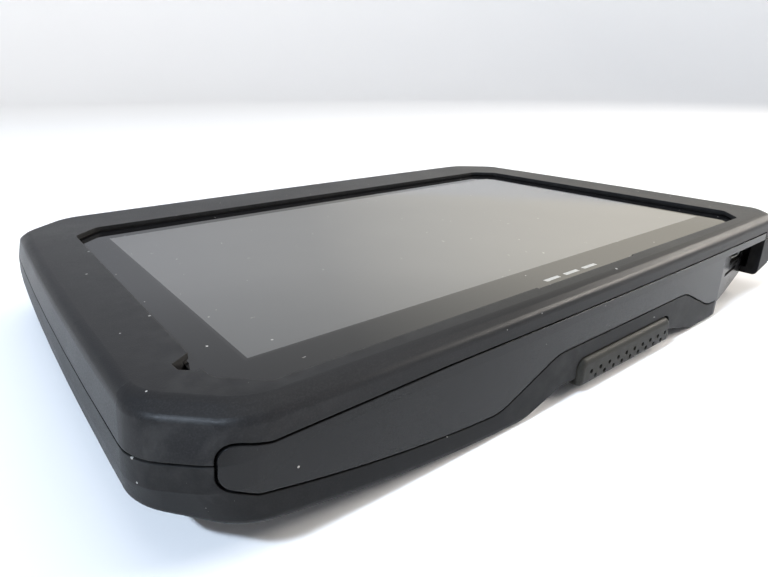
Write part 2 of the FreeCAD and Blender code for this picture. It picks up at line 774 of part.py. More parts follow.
def rear_towers():
    """Screw towers, mount insert towers and small rests inside the rear case."""
    towers = [upright(x, y, REAR_BOSS, 0.0, PARTING_Z) for x, y in CASE_SCREW_SPOTS]
    towers += [upright(x, y, INSERT_BOSS, 0.0, INSERT_LENGTH + INSERT_CAP) for x, y in mount_spots()]
    for x in (-ANTENNA_REST_X, ANTENNA_REST_X):
        towers.append(upright(x, ANTENNA_Y, ANTENNA_REST_R, 0.0, ANTENNA_BOARD_Z))
    pad_low, pad_high = BUTTON_Z - PAD_BELOW, BUTTON_Z + PAD_ABOVE
    towers.append(centred_box(BUTTON_X, PAD_Y + PAD_T / 2, BUTTON_PAD_W, PAD_T, pad_low, pad_high))
    rest = (BUTTON_X, SWITCH_BOARD_Y + SWITCH_BOARD_T / 2, SWITCH_REST_W, SWITCH_BOARD_T)
    towers.append(centred_box(*rest, SWITCH_REST_Z, SWITCH_BOARD_Z))
    return towers


def fastener_holes():
    """Screw counterbores and insert seats in the back."""
    holes = []
    for x, y in CASE_SCREW_SPOTS:
        holes.append(upright(x, y, CASE_HEAD + HEAD_CLEARANCE, -PAST, CASE_HEAD_Z))
        holes.append(upright(x, y, CASE_SHANK + SHANK_CLEARANCE, -PAST, PARTING_Z + PAST))
    for x, y in mount_spots():
        holes.append(upright(x, y, INSERT_RADIUS, -PAST, INSERT_LENGTH + INSERT_RECESS))
    return holes


def wall_holes():
    """Button hole with its dish, speaker cover slot and the opening under the speaker."""
    wide = BUTTON_W + 2 * BUTTON_CLEARANCE
    tall = BUTTON_H + 2 * BUTTON_CLEARANCE
    slot_y = -BODY_HALF_Y + WINDOW_DEPTH
    return [
        oval_along_y(BUTTON_X, BUTTON_Z, wide, tall, PAD_Y - PAST, FAR),
        oval_along_y(BUTTON_X, BUTTON_Z, wide + DISH_GROW_W, tall + DISH_GROW_H, BUTTON_DISH_Y, FAR),
        grille_plate(GRILLE_CLEARANCE, NEAR_OUTSIDE, slot_y),
        centred_box(SPEAKER_X, SPEAKER_Y, THROAT_W, PORTHOLE_D, BAY_CEILING - PAST, PORTHOLE_TOP),
    ]


def build_rear(blank, trim_pocket, seal_ring):
    """Rear case: hollowed blank with towers, speaker bay, port recess and trim pocket."""
    cavity = envelope(WALL, CORNER_FILL).common(slab(-PAST, PARTING_Z + PAST))
    cavity = cavity.common(above_underside(REAR_FLOOR))
    cavity = cavity.cut(speaker_bay(REAR_FLOOR, BAY_BACK + REAR_FLOOR))
    rear = blank.cut(cavity).fuse([blank.common(tower) for tower in rear_towers()])
    bay = speaker_bay(0.0, BAY_BACK)
    recess = recess_volume(PORT_WALL, -2 * PAST, RECESS_TOP)
    rear = rear.cut([bay, recess, trim_pocket, seal_ring])
    return rear.cut(fastener_holes() + wall_holes())


def eased_hole(x, z, width, height, ease):
    """Rounded rectangular prism along Y through the port wall."""
    low, high = z - height / 2, z + height / 2
    prism = box(x - width / 2, x + width / 2, NEAR_OUTSIDE, PORT_BOARD_FAR_Y, low, high)
    edges = [edge for edge in prism.Edges if edge.BoundBox.YLength > 1]
    return prism.makeFillet(ease, edges)


def build_trim(outer, rear_blank):
    """Smooth lower side trim: front plate, top strip and the slanted wall of the port recess."""
    plate = outer.cut(envelope(TRIM_THICKNESS)).common(trim_prism(0))
    wall = recess_volume(PORT_WALL, -PAST, RECESS_TOP).cut(recess_volume(0.0, -2 * PAST, RECESS_TOP + PAST))
    wall = wall.common(rear_blank)
    window = eased_hole(USB_X, USB_Z, USB_WINDOW_W, USB_WINDOW_H, USB_WINDOW_EASE)
    slot = box(SLOT_X - SLOT_W / 2, SLOT_X + SLOT_W / 2, NEAR_OUTSIDE, PORT_BOARD_Y,
               SLOT_Z - SLOT_H / 2, SLOT_Z + SLOT_H / 2)
    hole = oval_along_y(MIC_X, MIC_Z, MIC_HOLE_W, MIC_HOLE_H, NEAR_OUTSIDE, PORT_BOARD_Y)
    return fuse([plate, wall]).cut([window, slot, hole])


def usb_profile(grow, y0, y1):
    """Charging socket outline, narrower at its lower corners."""
    left, right = USB_X - USB_W / 2 - grow, USB_X + USB_W / 2 + grow
    low, high = USB_Z - USB_H / 2 - grow, USB_Z + USB_H / 2 + grow
    points = [
        (left + USB_CHAMFER_X, low), (right - USB_CHAMFER_X, low), (right, low + USB_CHAMFER_Z),
        (right, high), (left, high), (left, low + USB_CHAMFER_Z),
    ]
    return side_prism(points, y0, y1)


def build_usb():
    """Metal shell and plastic tongue of the charging socket."""
    back = USB_FRONT + USB_DEPTH
    shell = usb_profile(0.0, USB_FRONT, back)
    hollow = usb_profile(-USB_SKIN, USB_FRONT - PAST, back - USB_BACK)
    low = USB_Z + TONGUE_LIFT
    tongue = box(USB_X - TONGUE_HALF_W, USB_X + TONGUE_HALF_W, USB_FRONT + TONGUE_INSET, back - USB_BACK,
                 low, low + TONGUE_T)
    return shell.cut(hollow), tongue


def build_card_socket():
    """Pressed cage under the main board with a slot for a memory card."""
    middle_y = SOCKET_FRONT + SOCKET_D / 2
    cage = centred_box(SLOT_X, middle_y, SOCKET_W, SOCKET_D, BOARD_BOTTOM - SOCKET_H, BOARD_BOTTOM)
    slot = box(SLOT_X - CARD_W / 2, SLOT_X + CARD_W / 2, SOCKET_FRONT - PAST, SOCKET_FRONT + CARD_D,
               SLOT_Z - CARD_H / 2, SLOT_Z + CARD_H / 2)
    return cage.cut(slot)


def build_board():
    """Main circuit board with an arm that reaches the port recess."""
    middle = box(-BOARD_HALF_W, BOARD_HALF_W, BOARD_NEAR_Y, BOARD_FAR_Y, BOARD_BOTTOM, BOARD_TOP)
    arm = box(BOARD_ARM_LEFT, BOARD_ARM_RIGHT, PORT_BOARD_Y, BOARD_NEAR_Y, BOARD_BOTTOM, BOARD_TOP)
    holes = [upright(x, y, SMALL_SHANK + SHANK_CLEARANCE, BOARD_BOTTOM - PAST, BOARD_TOP + PAST)
             for x, y in BOARD_SCREW_SPOTS]
    return fuse([middle, arm]).cut(holes)


def build_shields():
    """Pressed cans over the radio, processor and power circuits."""
    cans = []
    for x, y in SHIELD_SPOTS:
        high = BOARD_TOP + SHIELD_H
        sides = 2 * SHIELD_SKIN
        can = centred_box(x, y, SHIELD_W, SHIELD_D, BOARD_TOP, high)
        hollow = centred_box(x, y, SHIELD_W - sides, SHIELD_D - sides, BOARD_TOP - PAST, high - SHIELD_SKIN)
        cans.append(can.cut(hollow))
    return Part.makeCompound(cans)


def build_battery():
    length, depth, height = BATTERY_SIZE
    low = REAR_FLOOR + BATTERY_PAD
    cell = centred_box(0, BATTERY_Y, length, depth, low, low + height)
    along = [edge for edge in cell.Edges if edge.BoundBox.XLength > length / 2]
    return cell.makeFillet(BATTERY_EASE, along)


def build_ribbon():
    """Flat cable from the display cell, past the tray, down to the main board."""
    left, right = DISPLAY_X - RIBBON_W / 2, DISPLAY_X + RIBBON_W / 2
    edge_y = DISPLAY_Y - PANEL_H / 2
    top_z = PANEL_BOTTOM + RIBBON_TAIL_LIFT
    low_z = BOARD_TOP + CONNECTOR_H
    lead = box(left, right, RIBBON_Y, edge_y, top_z, top_z + RIBBON_T)
    drop = box(left, right, RIBBON_Y - RIBBON_T, RIBBON_Y, low_z, top_z + RIBBON_T)
    foot = box(left, right, RIBBON_Y, CONNECTOR_Y, low_z, low_z + RIBBON_T)
    return fuse([lead, drop, foot])


def eased_box_on(z0, width, depth, height, ease):
    """Box with rounded upright edges, centred over the speaker."""
    return ease_upright_edges(centred_box(SPEAKER_X, SPEAKER_Y, width, depth, z0, z0 + height), ease)


def build_speaker():
    """Box loudspeaker over the bay, its cone, and the foam ring under it."""
    low = SPEAKER_BOTTOM
    cone_low = low + THROAT_H - CONE_H
    basket = eased_box_on(low, SPEAKER_W, SPEAKER_D, SPEAKER_H, SPEAKER_EASE)
    throat = eased_box_on(low, THROAT_W, THROAT_D, THROAT_H, THROAT_EASE)
    cone = eased_box_on(cone_low, THROAT_W, THROAT_D, CONE_H, THROAT_EASE)
    dome = eased_box_on(cone_low - DOME_H, DOME_W, DOME_D, DOME_H, DOME_EASE)
    foam_low = BAY_CEILING + REAR_FLOOR
    foam = eased_box_on(foam_low, SPEAKER_W, SPEAKER_D, low - foam_low, SPEAKER_EASE)
    foam_hole = centred_box(SPEAKER_X, SPEAKER_Y, FOAM_OPEN_W, FOAM_OPEN_D, 0, BODY_TOP)
    return basket.cut(throat), fuse([cone, dome]), foam.cut(foam_hole)


def grille_plate(grow, y0, y1):
    """Front plate of the speaker cover with eased upper corners, or the slot for it."""
    plate = box(GRILLE_LEFT - grow, GRILLE_RIGHT + grow, y0, y1, GRILLE_BOTTOM - grow, GRILLE_TOP + grow)
    corners = []
    for edge in plate.Edges:
        bounds = edge.BoundBox
        if bounds.XLength + bounds.ZLength < 1e-6 and bounds.ZMin > GRILLE_TOP - 1e-6:
            corners.append(edge)
    return plate.makeFillet(GRILLE_CORNER, corners)


def grille_holes():
    """Sound holes: two staggered front rows, a row through the rounded edge and rows underneath."""
    holes = []
    front = GRILLE_FRONT - PAST
    back = front + 2 * GRILLE_RISE_T
    low = GRILLE_BOTTOM - PAST
    half = HOLE_PITCH / 2
    for i in range(HOLE_COUNT):
        x = HOLE_START + i * HOLE_PITCH
        holes.append(along_y(x, HOLE_ROW_Z, HOLE_RADIUS, front, back))
        if i < HOLE_COUNT - 1:
            holes.append(along_y(x + half, HOLE_SECOND_Z, HOLE_RADIUS, front, back))
        holes.append(Part.makeCylinder(HOLE_RADIUS, 5 * PAST, V(x, front, low), V(0, 1, 1)))
        for row in range(HOLE_ROWS):
            shift = ((row + 1) % 2) * half
            y = GRILLE_FRONT + HOLE_ROW_START + row * HOLE_ROW_PITCH
            if x + shift < GRILLE_RIGHT - GRILLE_WALL:
                holes.append(upright(x + shift, y, HOLE_RADIUS, low, low + 3 * PAST))
    return holes


def build_grille():
    """Perforated cover that hangs in the speaker bay and stands a little proud of the near wall."""
    plate = grille_plate(0.0, GRILLE_FRONT, GRILLE_FRONT + GRILLE_RISE_T)
    low = box(GRILLE_LEFT, GRILLE_RIGHT, GRILLE_FRONT, GRILLE_BACK, GRILLE_BOTTOM, BAY_CEILING)
    shape = fuse([plate, low])
    rounded = []
    for edge in shape.Edges:
        bounds = edge.BoundBox
        at_front = bounds.YMax < GRILLE_FRONT + 1e-6
        at_bottom = bounds.ZMax < GRILLE_BOTTOM + 1e-6
        if at_front or at_bottom:
            rounded.append(edge)
    shape = shape.makeFillet(GRILLE_EASE, rounded)
    wall = GRILLE_WALL
    hollow = box(GRILLE_LEFT + wall, GRILLE_RIGHT - wall, GRILLE_FRONT + GRILLE_RISE_T, GRILLE_BACK - wall,
                 GRILLE_BOTTOM + wall, BAY_CEILING)
    return shape.cut([hollow] + grille_holes())


def build_button():
    """Power key with the flange that keeps it in the wall."""
    cap = oval_along_y(BUTTON_X, BUTTON_Z, BUTTON_W, BUTTON_H, PAD_Y, BUTTON_FACE_Y)
    front = [edge for edge in cap.Edges if edge.BoundBox.YMin > BUTTON_FACE_Y - 1e-6]
    cap = cap.makeFillet(BUTTON_EASE, front)
    flange_w = BUTTON_W + FLANGE_GROW
    flange_h = BUTTON_H + FLANGE_GROW
    flange = oval_along_y(BUTTON_X, BUTTON_Z, flange_w, flange_h, PAD_Y - FLANGE_T, PAD_Y)
    return fuse([cap, flange])


def build_switch():
    """Switch behind the power key: body, plunger and board."""
    tip_y = PAD_Y - FLANGE_T
    face_y = tip_y - PLUNGER_PROUD
    board_y = SWITCH_BOARD_Y + SWITCH_BOARD_T
    body = box(BUTTON_X - SWITCH_HALF_W, BUTTON_X + SWITCH_HALF_W, board_y, face_y,
               BUTTON_Z - SWITCH_HALF_H, BUTTON_Z + SWITCH_HALF_H)
    well = along_y(BUTTON_X, BUTTON_Z, PLUNGER_RADIUS + PLUNGER_CLEARANCE, face_y - PLUNGER_WELL, tip_y)
    plunger = along_y(BUTTON_X, BUTTON_Z, PLUNGER_RADIUS, face_y - PLUNGER_DEEP, tip_y)
    board_mid = SWITCH_BOARD_Y + SWITCH_BOARD_T / 2
    board = centred_box(BUTTON_X, board_mid, SWITCH_BOARD_W, SWITCH_BOARD_T, SWITCH_BOARD_Z,
                        SWITCH_BOARD_Z + SWITCH_BOARD_H)
    return body.cut(well), plunger, board


def build_inserts():
    """Brass mount inserts with plain bores."""
    rings = []
    for x, y in mount_spots():
        ring = upright(x, y, INSERT_RADIUS, INSERT_RECESS, INSERT_RECESS + INSERT_LENGTH)
        rings.append(ring.cut(upright(x, y, INSERT_BORE, 0, INSERT_RECESS + INSERT_LENGTH)))
    return Part.makeCompound(rings)


def case_parts():
    """Everything that shapes the outside."""
    outer = envelope()
    frame_blank, rear_blank = build_skins(outer)
    trim_pocket = outer.cut(envelope(TRIM_THICKNESS)).common(trim_prism(TRIM_GAP))
    seal_ring = build_case_seal()
    return {
        "front_frame": build_frame(frame_blank, trim_pocket),
        "rear_case": build_rear(rear_blank, trim_pocket, seal_ring),
        "lower_trim": build_trim(outer, rear_blank),
        "case_seal": seal_ring,
    }


def screen_parts():
    """The glass and the display stack behind it."""
    return {
        "glass_seal": build_glass_seal(),
        "cover_glass": eased_plate(GLASS_W, GLASS_H, GLASS_BOTTOM, GLASS_TOP),
        "touch_sensor": display_plate(TOUCH_BORDER, TOUCH_BOTTOM, GLASS_BOTTOM),
        "display_cell": display_plate(0.0, PANEL_BOTTOM, TOUCH_BOTTOM),
        "backlight": display_plate(0.0, BACKLIGHT_BOTTOM, PANEL_BOTTOM),
        "display_tray": build_tray(),
        "chassis_plate": build_chassis(),
    }


def board_parts():
    """Circuit boards and what they carry."""
    connector_y = CONNECTOR_Y - CONNECTOR_D / 2
    connector_w = RIBBON_W + 2
    antenna_low = ANTENNA_BOARD_Z + ANTENNA_BOARD_T
    usb_shell, usb_tongue = build_usb()
    return {
        "main_board": build_board(),
        "shield_cans": build_shields(),
        "display_ribbon": build_ribbon(),
        "ribbon_connector": centred_box(DISPLAY_X, connector_y, connector_w, CONNECTOR_D,
                                        BOARD_TOP, BOARD_TOP + CONNECTOR_H),
        "antenna_board": centred_box(0, ANTENNA_Y, ANTENNA_BOARD_W, ANTENNA_BOARD_D,
                                     ANTENNA_BOARD_Z, antenna_low),
        "satellite_antenna": centred_box(0, ANTENNA_Y, ANTENNA_SIDE, ANTENNA_SIDE,
                                         antenna_low, antenna_low + ANTENNA_H),
        "port_board": box(PORT_BOARD_LEFT, BOARD_ARM_RIGHT, PORT_BOARD_Y, PORT_BOARD_FAR_Y,
                          BOARD_TOP, BOARD_TOP + BOARD_THICKNESS),
        "usb_shell": usb_shell,
        "usb_tongue": usb_tongue,
        "card_socket": build_card_socket(),
        "microphone": centred_box(MIC_X, MIC_Y, MIC_W, MIC_D, BOARD_BOTTOM, BOARD_TOP),
    }


def power_and_sound_parts():
    """Battery, loudspeaker and power key."""
    basket, cone, foam = build_speaker()
    switch, plunger, switch_board = build_switch()
    return {
        "battery_pack": build_battery(),
        "battery_pad": centred_box(0, BATTERY_Y, PAD_W, PAD_D, REAR_FLOOR, REAR_FLOOR + BATTERY_PAD),
        "speaker_basket": basket,
        "speaker_cone": cone,
        "speaker_foam": foam,
        "speaker_grille": build_grille(),
        "power_button": build_button(),
        "switch_body": switch,
        "switch_plunger": plunger,
        "switch_board": switch_board,
    }


def fastener_parts():
    """Screws and threaded inserts."""
    return {
        "mount_inserts": build_inserts(),
        "case_screws": build_screws(CASE_SCREW_SPOTS, CASE_HEAD_Z, CASE_SHANK, CASE_HEAD, CASE_HEAD_H,
                                    CASE_SCREW_TIP),
        "chassis_screws": build_screws(CHASSIS_SCREW_SPOTS, CHASSIS_BOTTOM, SMALL_SHANK, SMALL_HEAD,
                                       SMALL_HEAD_H, CHASSIS_TIP),
        "board_screws": build_screws(BOARD_SCREW_SPOTS, BOARD_BOTTOM, SMALL_SHANK, SMALL_HEAD, SMALL_HEAD_H,
                                     BOARD_SCREW_TIP),
    }


def main():
    os.makedirs("parts", exist_ok=True)
    for group in (case_parts(), screen_parts(), board_parts(), power_and_sound_parts(), fastener_parts()):
        for name, shape in group.items():
            save(name, shape)


main()
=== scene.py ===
import bmesh
import bpy
import math
from mathutils import Matrix, Vector

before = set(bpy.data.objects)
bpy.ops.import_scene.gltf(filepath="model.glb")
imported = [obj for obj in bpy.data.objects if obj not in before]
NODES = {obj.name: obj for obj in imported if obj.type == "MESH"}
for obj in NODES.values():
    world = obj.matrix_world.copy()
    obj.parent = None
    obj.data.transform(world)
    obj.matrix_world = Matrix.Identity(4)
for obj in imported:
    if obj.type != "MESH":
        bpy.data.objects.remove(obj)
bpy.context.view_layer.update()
MM = 0.001

# Millimetres, in the frame of the part.
SOFT_EDGE = 0.25
SOFT_EDGE_SAMPLES = 6
HAIR_BEND = 1.6
HAIR_SQUEEZE = 0.12
DUST_SPACING = 2.0
DUST_RADIUS = 0.3
HAIR_SPACING = 2.2
HAIR_WIDTH = 0.11
SATIN_DUST_SPACING = 2.2
SATIN_DUST_RADIUS = 0.28
SATIN_DUST_SHARE = 0.16
GLASS_DUST_SPACING = 2.4
GLASS_DUST_RADIUS = 0.28
GLASS_DUST_SHARE = 0.16
GLASS_HAIR_SHARE = 0.6
GRAIN_MM = 0.28
GRAIN_DEPTH = 0.014
RIPPLE_DEPTH = 0.012
SIGN_AT = (70.4, 7.2)
SIGN_HALF = (0.9, 1.1)
SIGN_LINE = 0.25
SCREEN_CENTRE = (-1.6, -7.15)
LIT_HALF = (76.2, 44.4)
FRAME_LINE = 0.6
MARK_Y = -58.7
MARK_DASHES = (-9.0, -2.0, 5.0)
MARK_DASH_HALF = (2.5, 0.55)

# Cycles per millimetre.
HAIR_BEND_SCALE = 0.5
WEAR_SCALE = 0.35
PLASTIC_CLOUD = 0.05
SATIN_CLOUD = 0.04
SATIN_RIPPLE = 0.6
SATIN_SCUFF = 9.0
GLASS_CLOUD = 0.03
GLASS_SMEAR = 0.07

# Shares and ranges of the shader ramps.
WEAR_RANGE = (0.52, 0.6)
WEAR_SHARE = 0.35
GRAIN_SHARE = 0.35
GRAIN_LIFT = 2.2
DUST_SHARE = 0.8
THIN_DUST_SHARE = 0.7
SMEAR_ROUGHNESS = 0.05
COAT_ROUGHNESS = 0.035
COAT_IOR = 1.45
UNDER_GLASS_ROUGHNESS = 0.16
LIT_ROUGHNESS = 0.18
LIT_GLOSS = 0.3

SATIN_GLOSS = 0.24

# Colours.
WORN = (0.06, 0.059, 0.057)
DUST = (0.45, 0.44, 0.42)
SATIN_DUST = (0.4, 0.38, 0.35)
GLASS_DUST = (0.5, 0.48, 0.45)
SIGN = (0.2, 0.2, 0.2)
MARK = (0.36, 0.36, 0.35)
BORDER = (0.006, 0.006, 0.0065)
DISPLAY_RIM = (0.014, 0.014, 0.014)
DISPLAY_DARK = (0.06, 0.06, 0.058)
DISPLAY_LIGHT = (0.07, 0.069, 0.066)


# ---------------------------------------------------------------- node helpers

class Shader:
    """Small wrapper that adds and links shader nodes of one material."""

    def __init__(self, name):
        self.material = bpy.data.materials.new(name)
        self.material.use_nodes = True
        self.tree = self.material.node_tree
        self.tree.nodes.clear()
        self.out = self.tree.nodes.new("ShaderNodeOutputMaterial")
        self.surface = self.tree.nodes.new("ShaderNodeBsdfPrincipled")
        self.tree.links.new(self.surface.outputs["BSDF"], self.out.inputs["Surface"])
        coords = self.tree.nodes.new("ShaderNodeTexCoord")
        to_mm = self.tree.nodes.new("ShaderNodeVectorMath")
        to_mm.operation = "SCALE"
        to_mm.inputs["Scale"].default_value = 1000.0
        self.tree.links.new(coords.outputs["Object"], to_mm.inputs[0])
        self.mm = to_mm.outputs[0]

    def feed(self, socket, value):
        """Link a socket to another one, or give it a plain value."""
        if isinstance(value, bpy.types.NodeSocket):
            self.tree.links.new(value, socket)
        elif hasattr(value, "__len__") and len(value) == 3 and socket.type == "RGBA":
            socket.default_value = (*value, 1.0)
        else:
            socket.default_value = value

    def set(self, **inputs):
        """Feed named inputs of the surface and return the material."""
        for name, value in inputs.items():
            self.feed(self.surface.inputs[name.replace("_", " ")], value)
        return self.material

    def math(self, operation, a, b=0.0, c=0.0, clamp=False):
        node = self.tree.nodes.new("ShaderNodeMath")
        node.operation = operation
        node.use_clamp = clamp
        for socket, value in zip(node.inputs, (a, b, c)):
            self.feed(socket, value)
        return node.outputs[0]

    def noise(self, scale, detail=2.0, roughness=0.5, vector=None):
        """Noise with a scale in cycles per millimetre."""
        node = self.tree.nodes.new("ShaderNodeTexNoise")
        self.feed(node.inputs["Vector"], vector or self.mm)
        node.inputs["Scale"].default_value = scale
        node.inputs["Detail"].default_value = detail
        node.inputs["Roughness"].default_value = roughness
        return node.outputs["Fac"]

    def ramp(self, value, low, high, out_low=0.0, out_high=1.0):
        node = self.tree.nodes.new("ShaderNodeMapRange")
        self.feed(node.inputs["Value"], value)
        node.inputs["From Min"].default_value = low
        node.inputs["From Max"].default_value = high
        node.inputs["To Min"].default_value = out_low
        node.inputs["To Max"].default_value = out_high
        return node.outputs["Result"]

    def mix(self, factor, a, b):
        node = self.tree.nodes.new("ShaderNodeMix")
        node.data_type = "RGBA"
        self.feed(node.inputs["Factor"], factor)
        for socket, value in ((node.inputs[6], a), (node.inputs[7], b)):
            self.feed(socket, value)
        return node.outputs[2]

    def xyz(self, vector=None):
        node = self.tree.nodes.new("ShaderNodeSeparateXYZ")
        self.feed(node.inputs[0], vector or self.mm)
        return node.outputs

    def bump(self, height, depth_mm, strength=1.0, normal=None):
        node = self.tree.nodes.new("ShaderNodeBump")
        node.inputs["Strength"].default_value = strength
        node.inputs["Distance"].default_value = depth_mm * MM
        self.feed(node.inputs["Height"], height)
        if normal:
            self.feed(node.inputs["Normal"], normal)
        return node.outputs["Normal"]

    def specks(self, spacing, radius, share, vector=None):
        """Sparse round specks: cells of a given spacing, a share of which hold one dot."""
        node = self.tree.nodes.new("ShaderNodeTexVoronoi")
        self.feed(node.inputs["Vector"], vector or self.mm)
        node.inputs["Scale"].default_value = 1.0 / spacing
        chosen = self.math("LESS_THAN", self.xyz(node.outputs["Color"])[0], share)
        size = self.math("MULTIPLY", self.xyz(node.outputs["Color"])[1], radius / spacing)
        dot = self.math("LESS_THAN", node.outputs["Distance"], size)
        return self.math("MULTIPLY", dot, chosen)

    def fibres(self, spacing, width, share):
        """Sparse short hairs along X and along Y: specks in stretched cells, bent a little by noise."""
        bend = self.tree.nodes.new("ShaderNodeTexNoise")
        self.feed(bend.inputs["Vector"], self.mm)
        bend.inputs["Scale"].default_value = HAIR_BEND_SCALE
        bent = self.tree.nodes.new("ShaderNodeVectorMath")
        bent.operation = "MULTIPLY_ADD"
        self.feed(bent.inputs[0], bend.outputs["Color"])
        bent.inputs[1].default_value = (HAIR_BEND,) * 3
        self.feed(bent.inputs[2], self.mm)
        hairs = 0.0
        for stretch in ((HAIR_SQUEEZE, 1.0, 1.0), (1.0, HAIR_SQUEEZE, 1.0)):
            node = self.tree.nodes.new("ShaderNodeVectorMath")
            node.operation = "MULTIPLY"
            self.feed(node.inputs[0], bent.outputs[0])
            node.inputs[1].default_value = stretch
            specks = self.specks(spacing, width, share, node.outputs[0])
            hairs = self.math("MAXIMUM", hairs, specks)
        return hairs

    def within(self, value, centre, half):
        """One where a value is within half of a centre."""
        away = self.math("ABSOLUTE", self.math("SUBTRACT", value, centre))
        return self.math("LESS_THAN", away, half)

    def plate_mask(self, a, b, centre, half_a, half_b):
        """One inside a rectangle around a centre."""
        across = self.within(a, centre[0], half_a)
        return self.math("MULTIPLY", across, self.within(b, centre[1], half_b))

    def soft_edges(self, radius_mm):
        """Normals that round off sharp edges."""
        node = self.tree.nodes.new("ShaderNodeBevel")
        node.samples = SOFT_EDGE_SAMPLES
        node.inputs["Radius"].default_value = radius_mm * MM
        return node.outputs["Normal"]

    def card_sign(self):
        """Plain outline of a memory card, printed on the wall of the port recess."""
        x, _, z = self.xyz()
        outer = self.plate_mask(x, z, SIGN_AT, SIGN_HALF[0], SIGN_HALF[1])
        inner = self.plate_mask(x, z, SIGN_AT, SIGN_HALF[0] - SIGN_LINE, SIGN_HALF[1] - SIGN_LINE)
        return self.math("SUBTRACT", outer, inner)

    def edge_wear(self):
        """Patchy wear on convex edges."""
        node = self.tree.nodes.new("ShaderNodeNewGeometry")
        worn = self.ramp(node.outputs["Pointiness"], *WEAR_RANGE)
        patches = self.ramp(self.noise(WEAR_SCALE, 4), 0.35, 0.7)
        return self.math("MULTIPLY", worn, patches, clamp=True)


# ---------------------------------------------------------------- materials

def moulded_plastic(name, dark, light, rough, dust=0.06, gloss=0.16):
    """Spark-eroded black plastic: fine grain, cloudy sheen, worn edges, a few specks of dust."""
    s = Shader(name)
    cloud = s.noise(PLASTIC_CLOUD, 3)
    grain = s.noise(1.0 / GRAIN_MM, 3, 0.6)
    tone = s.mix(s.ramp(cloud, 0.3, 0.7), dark, light)
    lifted = [GRAIN_LIFT * c for c in light]
    tone = s.mix(s.math("MULTIPLY", s.ramp(grain, 0.45, 0.75), GRAIN_SHARE), tone, lifted)
    tone = s.mix(s.math("MULTIPLY", s.edge_wear(), WEAR_SHARE), tone, WORN)
    dots = s.specks(DUST_SPACING, DUST_RADIUS, dust)
    speck = s.math("MAXIMUM", dots, s.fibres(HAIR_SPACING, HAIR_WIDTH, 4 * dust))
    tone = s.mix(s.math("MULTIPLY", speck, DUST_SHARE), tone, DUST)
    grainy = s.ramp(grain, 0.3, 0.7, rough - 0.05, rough + 0.06)
    roughness = s.math("ADD", grainy, s.ramp(cloud, 0.3, 0.7, -0.03, 0.03))
    normal = s.bump(grain, GRAIN_DEPTH, normal=s.soft_edges(SOFT_EDGE))
    return s.set(Base_Color=tone, Roughness=roughness, Specular_IOR_Level=gloss, Normal=normal)


def satin_plastic(name, dark, light, rough):
    """Smooth satin plastic with a faint ripple, fine scuffs and dust."""
    s = Shader(name)
    cloud = s.noise(SATIN_CLOUD, 3)
    ripple = s.noise(SATIN_RIPPLE, 2)
    fine = s.noise(SATIN_SCUFF, 2)
    tone = s.mix(s.ramp(cloud, 0.3, 0.7), dark, light)
    speck = s.specks(SATIN_DUST_SPACING, SATIN_DUST_RADIUS, SATIN_DUST_SHARE)
    tone = s.mix(s.math("MULTIPLY", speck, THIN_DUST_SHARE), tone, SATIN_DUST)
    scuffed = s.ramp(fine, 0.3, 0.7, rough - 0.03, rough + 0.04)
    roughness = s.math("ADD", scuffed, s.ramp(cloud, 0.3, 0.7, -0.02, 0.04))
    tone = s.mix(s.math("MULTIPLY", s.card_sign(), 0.7), tone, SIGN)
    height = s.math("ADD", s.math("MULTIPLY", ripple, 0.5), s.math("MULTIPLY", fine, 0.12))
    normal = s.bump(height, RIPPLE_DEPTH, normal=s.soft_edges(SOFT_EDGE))
    return s.set(Base_Color=tone, Roughness=roughness, Specular_IOR_Level=SATIN_GLOSS, Normal=normal)


def border_mark(s, x, y):
    """Row of plain dashes printed on the lower border."""
    mark = 0.0
    for dash_x in MARK_DASHES:
        dash = s.plate_mask(x, y, (dash_x, MARK_Y), *MARK_DASH_HALF)
        mark = s.math("MAXIMUM", mark, dash)
    return mark


def screen_glass(name):
    """Cover glass: black printed border, grey switched-off display behind it, dust and faint smears."""
    s = Shader(name)
    x, y, _ = s.xyz()
    inside = s.plate_mask(x, y, SCREEN_CENTRE, LIT_HALF[0] + FRAME_LINE, LIT_HALF[1] + FRAME_LINE)
    lit = s.plate_mask(x, y, SCREEN_CENTRE, *LIT_HALF)
    cloud = s.noise(GLASS_CLOUD, 3)
    display = s.mix(s.ramp(cloud, 0.3, 0.7), DISPLAY_DARK, DISPLAY_LIGHT)
    tone = s.mix(inside, BORDER, DISPLAY_RIM)
    tone = s.mix(lit, tone, display)
    tone = s.mix(border_mark(s, x, y), tone, MARK)
    dots = s.specks(GLASS_DUST_SPACING, GLASS_DUST_RADIUS, GLASS_DUST_SHARE)
    speck = s.math("MAXIMUM", dots, s.fibres(GLASS_DUST_SPACING, HAIR_WIDTH, GLASS_HAIR_SHARE))
    tone = s.mix(s.math("MULTIPLY", speck, THIN_DUST_SHARE), tone, GLASS_DUST)
    smear = s.ramp(s.noise(GLASS_SMEAR, 4), 0.45, 0.7, 0.0, SMEAR_ROUGHNESS)
    under = s.math("MULTIPLY_ADD", lit, LIT_ROUGHNESS, UNDER_GLASS_ROUGHNESS)
    roughness = s.math("MAXIMUM", under, s.math("MULTIPLY", speck, THIN_DUST_SHARE))
    coat = s.math("ADD", smear, COAT_ROUGHNESS)
    gloss = s.math("MULTIPLY", lit, LIT_GLOSS)
    return s.set(Base_Color=tone, Roughness=roughness, Coat_Weight=1.0, Coat_IOR=COAT_IOR,
                 Coat_Roughness=coat, Specular_IOR_Level=gloss)


def foam(name):
    """Black cellular foam."""
    s = Shader(name)
    pores = s.noise(5.0, 3)
    tone = s.mix(pores, (0.008, 0.008, 0.008), (0.025, 0.024, 0.023))
    return s.set(Base_Color=tone, Roughness=0.95, Normal=s.bump(pores, 0.05))


